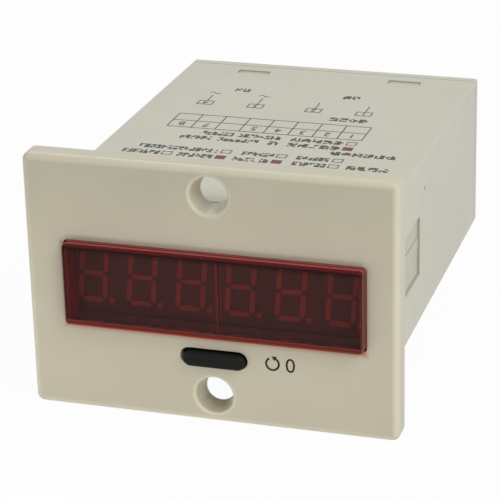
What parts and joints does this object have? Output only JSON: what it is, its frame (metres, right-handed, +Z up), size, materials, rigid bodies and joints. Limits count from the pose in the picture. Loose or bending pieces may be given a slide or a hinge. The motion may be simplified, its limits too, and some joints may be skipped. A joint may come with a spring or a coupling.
{
  "type": "panel counter",
  "caption": "Panel-mounted pulse counter: cream bezel with red display window and reset button, drafted case sleeve and a rear screw-terminal strip.",
  "frame": {"origin": "under the middle of the whole counter, at the height of the bezel's lowest edge", "axes": "+Y from the display window back along the case, +Z up, +X to the right as seen from the front"},
  "size_m": [0.073, 0.0926, 0.0517],
  "materials": {
    "cream_plastic": "moulded, fine grain, slightly glossy",
    "red_lens": "clear red acrylic, glossy",
    "black_plastic": "satin",
    "display_face": "matt",
    "board_green": "solder mask",
    "plated_metal": "nickel plated",
    "core_steel": "varnished laminations",
    "copper_wire": "enamelled copper",
    "bobbin_plastic": "moulded",
    "capacitor_sleeve": "shrink sleeve",
    "film_box": "moulded box"
  },
  "bodies": {
    "case": {"front_bezel": "cream_plastic", "case_sleeve": "cream_plastic", "rear_cover": "cream_plastic", "lens": "red_lens", "reset_switch": "black_plastic", "display_module_left": "display_face", "display_module_right": "display_face", "display_board": "board_green", "board_screw_1": "plated_metal", "board_screw_2": "plated_metal", "board_screw_3": "plated_metal", "board_screw_4": "plated_metal", "main_board": "board_green", "pin_header": "black_plastic", "transformer_core": "core_steel", "transformer_bobbin": "bobbin_plastic", "transformer_winding": "copper_wire", "main_capacitor": "capacitor_sleeve", "small_capacitor": "capacitor_sleeve", "film_capacitor": "film_box", "rectifier": "black_plastic", "regulator": "black_plastic", "counter_chip": "black_plastic", "driver_chip": "black_plastic", "memory_chip": "black_plastic", "input_coupler": "black_plastic", "crystal": "plated_metal", "resistor_1": "bobbin_plastic", "resistor_2": "bobbin_plastic", "resistor_3": "bobbin_plastic", "terminal_strip": "black_plastic", "terminal_pin_1": "plated_metal", "terminal_pin_2": "plated_metal", "terminal_pin_3": "plated_metal", "terminal_pin_4": "plated_metal", "terminal_tag_1": "plated_metal", "terminal_tag_2": "plated_metal", "terminal_tag_3": "plated_metal", "terminal_tag_4": "plated_metal", "wire_clamp_1": "plated_metal", "wire_clamp_2": "plated_metal", "wire_clamp_3": "plated_metal", "wire_clamp_4": "plated_metal", "terminal_screw_1": "plated_metal", "terminal_screw_2": "plated_metal", "terminal_screw_3": "plated_metal", "terminal_screw_4": "plated_metal"},
    "button": {"reset_button": "black_plastic", "switch_plunger": "plated_metal"}
  },
  "joints": [
    {"name": "reset_press", "type": "slide", "parent": "case", "child": "button", "axis": [0, 1, 0], "range_m": [0, 0.0006], "stiffness_N_per_m": 200}
  ]
}
